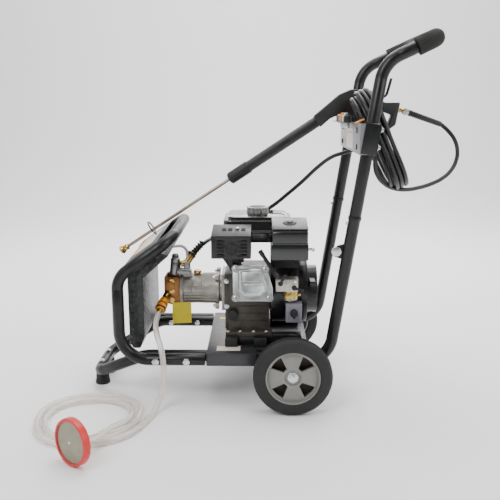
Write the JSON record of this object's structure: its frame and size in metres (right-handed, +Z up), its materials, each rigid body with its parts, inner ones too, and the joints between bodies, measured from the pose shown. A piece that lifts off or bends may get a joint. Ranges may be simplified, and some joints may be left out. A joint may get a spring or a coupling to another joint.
{
  "type": "pressure washer",
  "caption": "Petrol pressure washer: tubular two-wheeled trolley with foam-gripped handle, small engine and axial pump, gun with lance, coiled hose and clear suction hose.",
  "frame": {"origin": "centre of the trolley's footprint on the floor, without the hoses", "axes": "+X from the front guard to the handle, +Y across the machine, away from the cylinder and muffler side, +Z up"},
  "size_m": [1.091, 0.7775, 0.9435],
  "materials": {
    "powder_black": "satin powder coat",
    "deck_paint": "semi-gloss paint on sheet steel",
    "foam": "matte foam",
    "rubber": "satin rubber",
    "zinc": "zinc plated",
    "tyre": "matte rubber",
    "rim_grey": "moulded plastic",
    "nozzle_plastic": "moulded plastic in five colours",
    "dark_cast": "cast, dark paint",
    "cast_aluminium": "as cast",
    "muffler_steel": "heat-stained sheet",
    "guard_paint": "semi-gloss heat-proof paint",
    "black_plastic": "moulded plastic",
    "tank_gloss": "gloss enamel",
    "iron": "machined",
    "switch_red": "moulded plastic",
    "switch_grey": "moulded plastic",
    "brass": "as forged",
    "orange_plastic": "moulded plastic",
    "grey_tube": "smooth",
    "lance_steel": "drawn tube",
    "clear_hose": "clear flexible PVC",
    "filter_red": "moulded plastic with a fine mesh"
  },
  "bodies": {
    "root": {"main_frame": "powder_black", "front_guard": "powder_black", "handle_tube": "powder_black", "handle_grip": "foam", "frame_feet": "rubber", "fasteners": "zinc", "front_plate": "deck_paint", "engine_deck": "deck_paint", "engine_rails": "deck_paint", "axle": "zinc", "wire_hooks": "powder_black", "accessory_panel": "deck_paint", "spray_nozzles": "nozzle_plastic", "crankcase": "dark_cast", "side_cover": "dark_cast", "cylinder_head": "dark_cast", "valve_cover": "cast_aluminium", "muffler": "muffler_steel", "muffler_guard": "guard_paint", "air_cleaner": "black_plastic", "fuel_tank": "tank_gloss", "carburetor": "cast_aluminium", "blower_housing": "black_plastic", "recoil_cover": "black_plastic", "spark_plug_cap": "rubber", "switch_box": "switch_grey", "oil_caps": "black_plastic", "pump_adapter": "cast_aluminium", "pump_body": "cast_aluminium", "pump_head": "brass", "unloader_valve": "zinc", "pump_fittings": "brass", "detergent_tank": "black_plastic", "detergent_tube": "grey_tube", "gun_body": "black_plastic", "lance_sleeve": "black_plastic", "lance_tube": "lance_steel", "tip_socket": "brass", "pressure_hose_run": "rubber", "pressure_hose_coil": "rubber", "pressure_hose_lead": "rubber", "hose_end": "lance_steel", "suction_hose": "clear_hose", "suction_filter": "filter_red"},
    "wheel_near": {"tyre_near": "tyre", "rim_near": "rim_grey"},
    "wheel_far": {"tyre_far": "tyre", "rim_far": "rim_grey"},
    "crank": {"crankshaft": "iron", "flywheel": "iron"},
    "throttle": {"throttle_lever": "zinc"},
    "choke": {"choke_lever": "black_plastic"},
    "fuel_valve": {"fuel_lever": "black_plastic"},
    "stop_switch": {"engine_switch": "switch_red"},
    "tank_cap": {"fuel_cap": "black_plastic"},
    "trigger": {"gun_trigger": "black_plastic"},
    "nozzle_collar": {"tip_collar": "brass"},
    "hose_collar": {"inlet_collar": "orange_plastic"},
    "button_near": {"snap_near": "zinc"},
    "button_far": {"snap_far": "zinc"}
  },
  "joints": [
    {"name": "wheel_near_spin", "type": "hinge", "parent": "root", "child": "wheel_near", "pos_m": [0.09436, -0.229, 0.1], "axis": [0, 1, 0], "continuous": true},
    {"name": "wheel_far_spin", "type": "hinge", "parent": "root", "child": "wheel_far", "pos_m": [0.09436, 0.229, 0.1], "axis": [0, 1, 0], "continuous": true},
    {"name": "crank_spin", "type": "hinge", "parent": "root", "child": "crank", "pos_m": [-0.00364, 0, 0.2661], "axis": [1, 0, 0], "continuous": true},
    {"name": "throttle_turn", "type": "hinge", "parent": "root", "child": "throttle", "pos_m": [0.12836, -0.054, 0.3881], "axis": [0, 1, 0], "range_deg": [-25, 25]},
    {"name": "choke_turn", "type": "hinge", "parent": "root", "child": "choke", "pos_m": [0.06436, -0.132, 0.3141], "axis": [0, 1, 0], "range_deg": [0, 50]},
    {"name": "fuel_valve_turn", "type": "hinge", "parent": "root", "child": "fuel_valve", "pos_m": [0.10036, -0.132, 0.3021], "axis": [0, 1, 0], "range_deg": [-40, 0]},
    {"name": "stop_switch_turn", "type": "hinge", "parent": "root", "child": "stop_switch", "pos_m": [0.10036, -0.134, 0.2341], "axis": [0, 1, 0], "range_deg": [0, 60]},
    {"name": "fuel_cap_turn", "type": "hinge", "parent": "root", "child": "tank_cap", "pos_m": [0.00436, 0.03, 0.4761], "axis": [0, 0, 1], "range_deg": [0, 90]},
    {"name": "trigger_pull", "type": "hinge", "parent": "root", "child": "trigger", "pos_m": [0.31836, 0.05, 0.762], "axis": [0, -1, 0], "range_deg": [0, 16], "stiffness_Nm_per_rad": 0.3, "springref_deg": -5.73},
    {"name": "nozzle_collar_slide", "type": "slide", "parent": "root", "child": "nozzle_collar", "axis": [0.8348, 0, 0.5505], "range_m": [0, 0.005], "stiffness_N_per_m": 400, "springref_m": -0.002},
    {"name": "hose_collar_slide", "type": "slide", "parent": "root", "child": "hose_collar", "axis": [-0.2368, -0.8379, -0.4918], "range_m": [0, 0.005], "stiffness_N_per_m": 400, "springref_m": -0.002},
    {"name": "button_near_press", "type": "slide", "parent": "root", "child": "button_near", "axis": [0.9885, 0, -0.1513], "range_m": [0, 0.004], "stiffness_N_per_m": 600, "springref_m": -0.002},
    {"name": "button_far_press", "type": "slide", "parent": "root", "child": "button_far", "axis": [0.9885, 0, -0.1513], "range_m": [0, 0.004], "stiffness_N_per_m": 600, "springref_m": -0.002}
  ]
}
